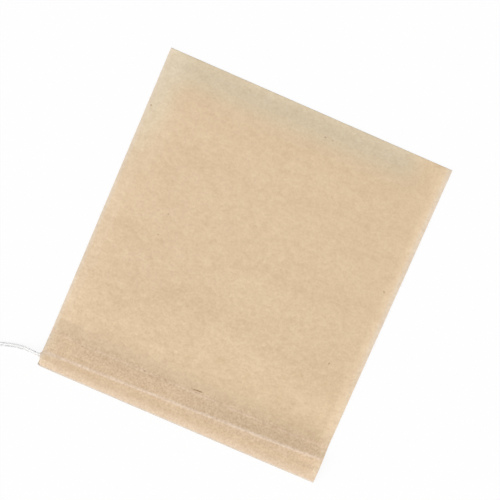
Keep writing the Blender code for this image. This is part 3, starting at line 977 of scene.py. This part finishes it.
def pair_route(form):
    """Middle line of the two legs: out of the hem, round the coil inwards, and to the knot."""
    exit_point, middle = form.exit_point(), form.coil_middle()
    start = [exit_point + Vector((x, y, 0.0)) for x, y in LEG_ROUTE]
    knot = Vector((*KNOT_AT, 0.0))
    bend_middle = knot - Vector((form.knot_half + 0.5 * MM, form.closing_radius, 0.0))
    inner = bend_middle.length + form.closing_radius
    meet = atan2(bend_middle.y, bend_middle.x)
    coil = [middle + spoke(mix(-pi / 2, meet - 2 * pi * form.laps, s / 90),
                           mix(form.coil_radius, inner, s / 90)) for s in range(1, 91)]
    bend = [middle + bend_middle + spoke(mix(meet, pi / 2 - 2 * pi, s / 12), form.closing_radius)
            for s in range(1, 13)]
    into = [middle + knot - Vector((form.knot_half * s, 0.0, 0.0)) for s in (1.1, 0.7)]
    return smooth_route(start + coil + bend + into, ROUTE_STEP)


def leg_line(form, route, side, lift, drop):
    """One leg, beside the middle line; it leaves its hem at a height and comes down to the floor."""
    places = []
    edge = form.place.x + form.left - form.tongue
    touching, at_knot = form.thread * 1.05 / form.pair, 0.62    # shares of the pair's distance
    for i, point in enumerate(route):
        out, to_knot = edge - point.x, (len(route) - 1 - i) * ROUTE_STEP
        closer = mix(1.0, touching, clamp(out / (2 * MM)))
        closer = mix(at_knot, closer, clamp(to_knot / (1.2 * MM)))
        height = mix(form.thread / 2, lift, (1 + cos(pi * clamp(out / drop))) / 2)
        height += (0.6 * form.knot_height - form.thread / 2) * clamp(1 - to_knot / (1.0 * MM))
        places.append(point + beside(heading(route, i)) * side * closer * form.pair / 2
                      + Vector((0, 0, height)))
    return places


def hem_line(form):
    """Front run, half turn at the right, back run."""
    start = form.left + form.leg_start + RUN_GAP
    xs = [mix(start, form.turn_x(), s / 60) for s in range(60)]
    front = [Vector((x, form.front_line(x), form.front_run_height(x, form.front_line(x))))
             for x in xs]
    back = [Vector((x, form.back_line(x), form.back_run_height())) for x in reversed(xs)]
    turn = []
    radius = form.turn_radius()
    middle = (form.front_line(form.right) + form.back_line(form.right)) / 2
    for step in range(21):
        angle = pi / 2 - pi * step / 20
        x, y = form.turn_x() + radius * cos(angle), middle + radius * sin(angle)
        s = clamp((radians(60) - angle) / radians(120))
        height = mix(form.front_run_height(x, y), form.back_run_height(), s * s * (3 - 2 * s))
        turn.append(Vector((x, y, height)))
    return [form.place + point for point in front + turn + back]


def frames_along(points):
    """Direction and a sideways vector that doesn't spin, at each point of a line."""
    frames = []
    side = Vector((0.0, 0.0, 1.0))
    for i, point in enumerate(points):
        ahead = heading(points, i)
        side = (side - ahead * side.dot(ahead)).normalized()
        frames.append((point, side, ahead.cross(side)))
    return frames


def twisted(name, points, form, thickness, step, sides):
    """Plies twisted round a line: one skin with a UV map and the depth of its grooves."""
    line = evenly(points, step)
    frames = frames_along(line)
    radius, half_ply = thickness / 2, pi / form.plies
    out = form.bulge * radius
    verts, depths = [], []
    for i, (point, side, up) in enumerate(frames):
        turn = 2 * pi * i * step / form.twist
        swell = 1 + 0.06 * noise.noise(Vector((i * step / (1.3 * MM), thickness / MM, 3.0)))
        for k in range(sides):
            angle = 2 * pi * k / sides
            aside = (angle + half_ply) % (2 * half_ply) - half_ply
            reach = out * cos(aside) + sqrt((radius - out) ** 2 - (out * sin(aside)) ** 2)
            way = side * cos(turn + angle) + up * sin(turn + angle)
            verts.append(point + way * reach * swell)
            depths.append(abs(aside / half_ply) ** 3)
    faces, uvs = [], []
    for i in range(len(frames) - 1):
        u, v = i * step / thickness, (i + 1) * step / thickness
        for k in range(sides):
            n = (k + 1) % sides
            faces.append((i * sides + k, i * sides + n, (i + 1) * sides + n, (i + 1) * sides + k))
            uvs += [(u, k / sides), (u, (k + 1) / sides), (v, (k + 1) / sides), (v, k / sides)]
    for i, ring in ((0, reversed(range(sides))), (len(frames) - 1, range(sides))):
        faces.append([i * sides + k for k in ring])
        uvs += [(i * step / thickness, 0.5)] * sides
    obj = mesh_object(name, verts, faces)
    layer = obj.data.uv_layers.new(name="UVMap")
    layer.data.foreach_set("uv", [c for uv in uvs for c in uv])
    attribute = obj.data.attributes.new("depth", "FLOAT", "POINT")
    attribute.data.foreach_set("value", depths)
    smooth(obj, radians(60))
    return obj, line


def knot_lines(form):
    """The doubled thread through an overhand knot: two side-by-side lines, tails to the right."""
    middle = form.coil_middle() + Vector((*KNOT_AT, form.knot_height))
    grow_x, grow_y, grow_z = 0.36 * MM, 0.34 * MM, 0.05 * MM
    loop = []
    for i in range(41):
        t = -2.0 + 4.0 * i / 40
        loop.append(Vector(((t ** 3 - 3 * t) * grow_x, (t ** 4 - 4 * t ** 2 + 2) * grow_y,
                            (t ** 5 - 10 * t) * grow_z)))
    low = form.thread / 2 - form.knot_height
    entry = [Vector((-form.knot_half - 0.55 * MM, 0.0, low)),
             Vector((-form.knot_half - 0.1 * MM, 0.2 * MM, 0.6 * low))]
    leave = [Vector((form.knot_half * 0.95, 0.30 * MM, 0.2 * low)),
             Vector((form.tail, 0.0, low))]
    lines = []
    places = entry + loop[2:-2] + leave
    for side in (-1, 1):
        line = []
        for i, point in enumerate(places):
            aside = beside(heading(places, i)) * side * form.pair * 0.27
            spread = 1 + 2.2 * clamp((point.x - form.knot_half) / (form.tail - form.knot_half))
            line.append(middle + point + aside * spread)
        lines.append(line)
    return lines


# Operators


def settle(piece, slot, *nodes):
    """Puts a finished piece on the body and in the place of its solids."""
    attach(piece, "root")
    if nodes:
        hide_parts(*nodes)


class MakeStage(bpy.types.Operator):
    """Camera, lamps, world and floor"""
    bl_idname = "tea_bag.make_stage"
    bl_label = "Stage"

    def execute(self, context):
        scene, studio = context.scene, context.scene.tea_bag_studio
        scene.view_settings.view_transform = "Standard"
        self.hang_camera(scene, studio)
        self.hang_key(studio)
        self.light_world(scene, studio)
        self.lay_floor()
        return {"FINISHED"}

    @staticmethod
    def hang_camera(scene, studio):
        camera = add_object("camera", bpy.data.cameras.new("camera"))
        camera.data.lens = studio.lens
        camera.data.sensor_width = 36.0
        camera.data.clip_start = 1 * MM
        place, aim = Vector(studio.camera_place), Vector(studio.camera_aim)
        back = (place - aim).normalized()
        right = spoke(studio.camera_turn)
        right = (right - back * right.dot(back)).normalized()
        axes = Matrix((right, back.cross(right), back)).transposed()
        camera.matrix_world = Matrix.Translation(place) @ axes.to_4x4()
        scene.camera = camera

    @staticmethod
    def hang_key(studio):
        lamp = bpy.data.lights.new("key_lamp", "SUN")
        lamp.energy = studio.key
        lamp.angle = studio.key_spread
        key = add_object("key_lamp", lamp)
        flat = cos(studio.key_height)
        towards = Vector((sin(studio.key_side) * flat, -cos(studio.key_side) * flat,
                          sin(studio.key_height)))
        key.rotation_euler = towards.to_track_quat("Z", "Y").to_euler()
        key.location = towards * 0.5

    @staticmethod
    def seen_directly(graph):
        path = graph.node("ShaderNodeLightPath", output="Is Camera Ray")
        return path + graph.output(path, "Is Glossy Ray") + graph.output(
            path, "Is Transmission Ray")

    def light_world(self, scene, studio):
        world = bpy.data.worlds.new("studio")
        world.use_nodes = True
        scene.world = world
        graph = Graph(world.node_tree)
        seen = self.seen_directly(graph)
        soft = graph.node("ShaderNodeBackground", None,
                          {"Color": (1, 1, 1, 1), "Strength": studio.ambient})
        white = graph.node("ShaderNodeBackground", None, {"Color": (1, 1, 1, 1), "Strength": 1.0})
        shader = graph.node("ShaderNodeMixShader", None, {0: seen, 1: soft, 2: white})
        graph.node("ShaderNodeOutputWorld", None, {"Surface": shader})

    def lay_floor(self):
        """A matt floor that keeps the bag's shadow and is nearly white where it is seen."""
        half, shown_white = 1.5, 0.88
        corners = [(x * half, y * half, FLOOR) for x, y in ((-1, -1), (1, -1), (1, 1), (-1, 1))]
        floor = mesh_object("studio_floor", corners, [(0, 1, 2, 3)])
        material, graph = new_material("pale_floor")
        seen = self.seen_directly(graph)
        matt = graph.node("ShaderNodeBsdfDiffuse", None, {"Color": (0.93, 0.93, 0.93, 1)})
        white = graph.node("ShaderNodeEmission", None, {"Color": (1, 1, 1, 1), "Strength": 1.0})
        shader = graph.node("ShaderNodeMixShader", None, {0: seen * shown_white, 1: matt, 2: white})
        graph.node("ShaderNodeOutputMaterial", None, {"Surface": shader})
        floor.data.materials.append(material)


class MakeDrawstring(bpy.types.Operator):
    """Thread in the hems, its two legs, the knot and the loose hairs"""
    bl_idname = "tea_bag.make_drawstring"
    bl_label = "Drawstring"

    def execute(self, context):
        form = BagForm(context.scene)
        cotton = cotton_material(context.scene, "undyed_cotton", 0.6 * MM)
        knot = self.tie_knot(form, cotton)
        route = pair_route(form)
        legs = []
        for side, name, lift, drop in (
                (1, "front", form.front_run_height(form.left, form.front_line(form.left)),
                 form.front_drop),
                (-1, "back", form.back_run_height(), form.back_drop)):
            line = leg_line(form, route, side, lift, drop)
            leg, path = twisted("drawstring_%s_thread" % name, line, form, form.thread * LEG_SHARE,
                                form.step, form.sides)
            leg.data.materials.append(cotton)
            settle(leg, "cotton_thread", "drawstring_leg_%s" % name, "drawstring_coil")
            exit_y = form.front_line(form.left) if side == 1 else form.back_line(form.left)
            line_length(path)
            legs.append(leg)
        run, _ = twisted("drawstring_hem_thread", hem_line(form), form, form.thread,
                         2 * form.step, form.sides // 2)
        run.data.materials.append(cotton)
        settle(run, "cotton_thread", "drawstring_in_hem")
        self.raise_fuzz(legs, cotton_material(context.scene, "cotton_hair", 0.0))
        return {"FINISHED"}

    @staticmethod
    def tie_knot(form, cotton):
        strands = []
        for number, line in enumerate(knot_lines(form)):
            strand, _ = twisted("knot_strand_%d" % number, smooth_route(line, 0.1 * MM), form,
                                form.thread * KNOT_SHARE, form.step, form.sides)
            strands.append(strand)
        knot = joined("drawstring_overhand_knot", strands)
        knot.data.materials.append(cotton)
        settle(knot, "cotton_thread", "drawstring_knot")
        return knot

    @staticmethod
    def raise_fuzz(legs, hair):
        tree = fuzz_tree(hair)
        for number, leg in enumerate(legs):
            sizes = {"Density": 0.4e7, "Length": 0.45 * MM, "Radius": 0.005 * MM,
                     "Seed": 31 + number}
            settle(grow("drawstring_loose_hairs_%d" % (number + 1), leg, tree, sizes),
                   "cotton_thread")


def joined(name, objects):
    """Several meshes as one object, with the first one's materials."""
    bm = bmesh.new()
    materials = list(objects[0].data.materials)
    for obj in objects:
        bm.from_mesh(obj.data)
    mesh = bpy.data.meshes.new(name)
    bm.to_mesh(mesh)
    bm.free()
    for material in materials:
        mesh.materials.append(material)
    for obj in objects:
        bpy.data.objects.remove(obj)
    return add_object(name, mesh)


class MakePaper(bpy.types.Operator):
    """Folded sheet of filter paper"""
    bl_idname = "tea_bag.make_paper"
    bl_label = "Paper"

    def execute(self, context):
        sheet = folded_sheet(BagForm(context.scene))
        sheet.data.materials.clear()
        sheet.data.materials.append(paper_material(context.scene))
        settle(sheet, "filter_paper", "paper_bag")
        return {"FINISHED"}


class MakeFibres(bpy.types.Operator):
    """Fibres that lie on the paper and stand out of its cut edges"""
    bl_idname = "tea_bag.make_fibres"
    bl_label = "Paper fibres"

    def execute(self, context):
        form = BagForm(context.scene)
        material = fibre_material(context.scene)
        rows = lambda x: form.hem_rows(x)[7:] + form.body_rows()[:-7]
        follow, straight = fibre_tree(material, True), fibre_tree(material, False)
        top = skin("top_skin", form, form.columns()[1:-1], rows, form.topside)
        low = skin("low_skin", form, form.columns()[1:-1], rows, form.underside)
        sizes = {"Density": 1.1e6, "Length": 1.1 * MM, "Radius": 0.009 * MM, "Lift": 0.004 * MM,
                 "Lean": 1.3, "Seed": 5}
        lying = grow("top_fibres", top, follow, sizes)
        below = grow("low_fibres", low, follow,
                     {**sizes, "Density": 0.14e6, "Lift": -0.002 * MM, "Seed": 6})
        strips = [skin("edge_skin", form, [x, x + 0.25 * MM], lambda _: form.body_rows()[:-7],
                       lambda a, b: form.paper * 1.1)
                  for x in (form.left, form.right - 0.25 * MM)]
        ends = [grow("edge_fibres", strip, straight,
                     {**sizes, "Density": 9e6, "Length": 0.9 * MM, "Lean": 1.57, "Seed": 7 + n})
                for n, strip in enumerate(strips)]
        for helper in [top, low] + strips:
            bpy.data.objects.remove(helper)
        fibres = joined("paper_fibres", [lying, below] + ends)
        settle(fibres, "filter_paper")
        return {"FINISHED"}


class TeaBagPanel(bpy.types.Panel):
    """Makers and sizes of the tea bag"""
    bl_idname = "VIEW3D_PT_tea_bag"
    bl_label = "Tea bag"
    bl_space_type = "VIEW_3D"
    bl_region_type = "UI"
    bl_category = "Tea Bag"

    def draw(self, context):
        for maker in MAKERS:
            self.layout.operator(maker.bl_idname)
        for name, kind in GROUPS.items():
            box = self.layout.box()
            box.label(text=kind.__doc__)
            group = getattr(context.scene, name)
            for size_name in kind.__annotations__:
                box.prop(group, size_name)


GROUPS = {"tea_bag_sheet": SheetSizes, "tea_bag_thread": ThreadSizes,
          "tea_bag_paper": PaperFinish, "tea_bag_cotton": ThreadFinish,
          "tea_bag_studio": StudioSettings}
MAKERS = [MakeStage, MakeDrawstring, MakePaper, MakeFibres]
CLASSES = list(GROUPS.values()) + MAKERS + [TeaBagPanel]


def register():
    for cls in CLASSES:
        bpy.utils.register_class(cls)
    for name, kind in GROUPS.items():
        setattr(bpy.types.Scene, name, PointerProperty(type=kind))


def unregister():
    for name in GROUPS:
        delattr(bpy.types.Scene, name)
    for cls in reversed(CLASSES):
        bpy.utils.unregister_class(cls)


def main():
    register()
    bpy.ops.tea_bag.make_stage()
    bpy.ops.tea_bag.make_drawstring()
    bpy.ops.tea_bag.make_paper()
    bpy.ops.tea_bag.make_fibres()


if __name__ == "__main__":
    main()
